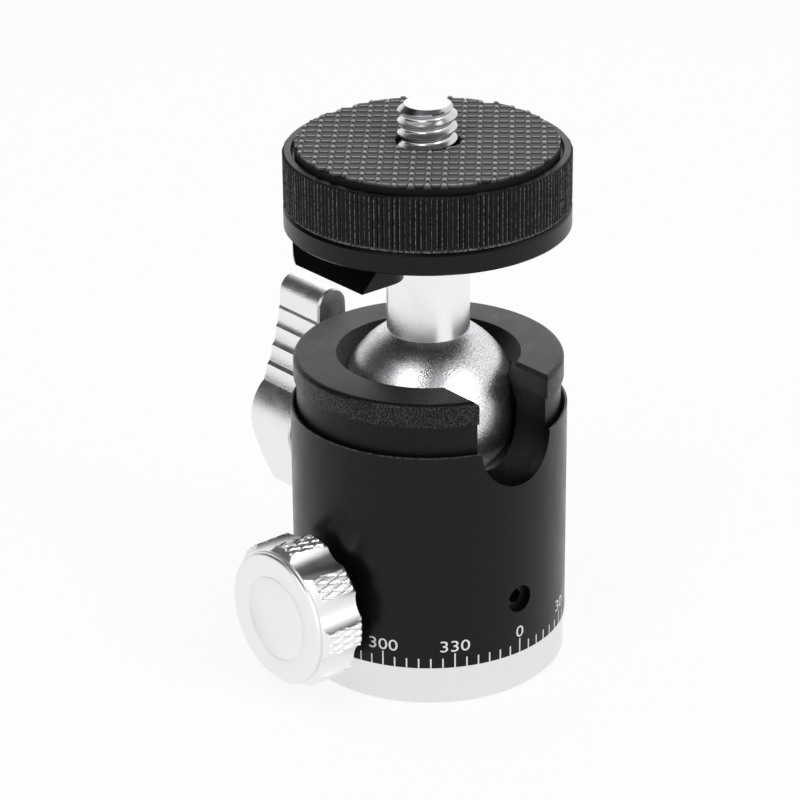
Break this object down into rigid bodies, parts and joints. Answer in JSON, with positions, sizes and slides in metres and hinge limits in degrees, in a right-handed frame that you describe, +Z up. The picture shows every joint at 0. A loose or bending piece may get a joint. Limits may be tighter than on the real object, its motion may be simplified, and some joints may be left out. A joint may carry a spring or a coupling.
{
  "type": "tripod ball head",
  "caption": "Small ball head with a panning base, a drop notch, a clamp lever, a pan lock knob and a camera screw with a knurled lock wheel.",
  "frame": {"origin": "on the pan axis, in the face that rests on the tripod, at the mouth of the tripod thread", "axes": "+Z up along the pan axis towards the camera screw, -Y out of the drop notch and the 0 mark, -X along the pan knob, +Y along the clamp lever's shaft"},
  "size_m": [0.0364, 0.0382, 0.0623],
  "materials": {
    "silver_anodised": "satin, clear anodised",
    "silver_knob": "satin, turned and knurled",
    "silver_cast": "satin, blasted and anodised",
    "blasted_ball": "fine blasted",
    "turned_stem": "satin, turned",
    "black_anodised": "satin black anodised",
    "black_knurled": "black anodised, straight knurl",
    "plain_steel": "turned",
    "screw_steel": "bright plated",
    "black_steel": "black oxide",
    "brass": "turned",
    "acetal": "natural",
    "pad_rubber": "moulded grid"
  },
  "bodies": {
    "base": {"base_plate": "silver_anodised", "thread_adapter": "plain_steel", "pan_washer": "acetal"},
    "head": {"housing": "black_anodised", "collar": "black_anodised", "set_screw": "black_steel", "lever_bushing": "brass"},
    "pan_brake": {"pan_brake_pin": "brass"},
    "knob": {"pan_knob": "silver_knob", "pan_knob_stud": "plain_steel"},
    "clamp_lever": {"lever": "silver_cast", "clamp_shaft": "plain_steel", "lever_screw": "plain_steel", "thrust_washer": "acetal"},
    "wedge": {"wedge_nut": "plain_steel"},
    "cup": {"ball_cup": "brass"},
    "ball_joint": {"ball": "blasted_ball"},
    "camera_platform": {"stem": "turned_stem", "platform": "black_anodised", "camera_screw": "screw_steel"},
    "wheel_thread": {"wheel_insert": "brass"},
    "wheel": {"lock_wheel": "black_knurled", "rubber_pad": "pad_rubber"}
  },
  "joints": [
    {"name": "pan", "type": "hinge", "parent": "base", "child": "head", "pos_m": [0, 0, 0], "axis": [0, 0, 1], "continuous": true},
    {"name": "pan_brake_travel", "type": "slide", "parent": "head", "child": "pan_brake", "axis": [-1, 0, 0], "range_m": [0, 0.0008]},
    {"name": "pan_knob_turn", "type": "hinge", "parent": "pan_brake", "child": "knob", "pos_m": [-0.018, 0, 0.01005], "axis": [-1, 0, 0], "range_deg": [0, 360]},
    {"name": "lever_turn", "type": "hinge", "parent": "head", "child": "clamp_lever", "pos_m": [0, 0.0197, 0.0172], "axis": [0, 1, 0], "range_deg": [0, 120]},
    {"name": "wedge_travel", "type": "slide", "parent": "head", "child": "wedge", "axis": [0, -1, 0], "range_m": [0, 0.00023333]},
    {"name": "cup_travel", "type": "slide", "parent": "head", "child": "cup", "axis": [0, 0, -1], "range_m": [0, 0.000085]},
    {"name": "ball_tilt", "type": "hinge", "parent": "head", "child": "ball_joint", "pos_m": [0, 0, 0.029], "axis": [1, 0, 0], "range_deg": [-25, 90]},
    {"name": "ball_spin", "type": "hinge", "parent": "ball_joint", "child": "camera_platform", "pos_m": [0, 0, 0.029], "axis": [0, 0, 1], "continuous": true},
    {"name": "wheel_lift", "type": "slide", "parent": "camera_platform", "child": "wheel_thread", "axis": [0, 0, 1], "range_m": [0, 0.00381]},
    {"name": "wheel_turn", "type": "hinge", "parent": "wheel_thread", "child": "wheel", "pos_m": [0, 0, 0.055], "axis": [0, 0, 1], "range_deg": [0, 1080]}
  ],
  "couplings": [
    {"joint": "pan_knob_turn", "follows": "pan_brake_travel", "rad_per_m": 7854},
    {"joint": "lever_turn", "follows": "wedge_travel", "rad_per_m": 8976},
    {"joint": "cup_travel", "follows": "wedge_travel", "ratio": 0.36397},
    {"joint": "wheel_turn", "follows": "wheel_lift", "rad_per_m": 4947.4}
  ]
}
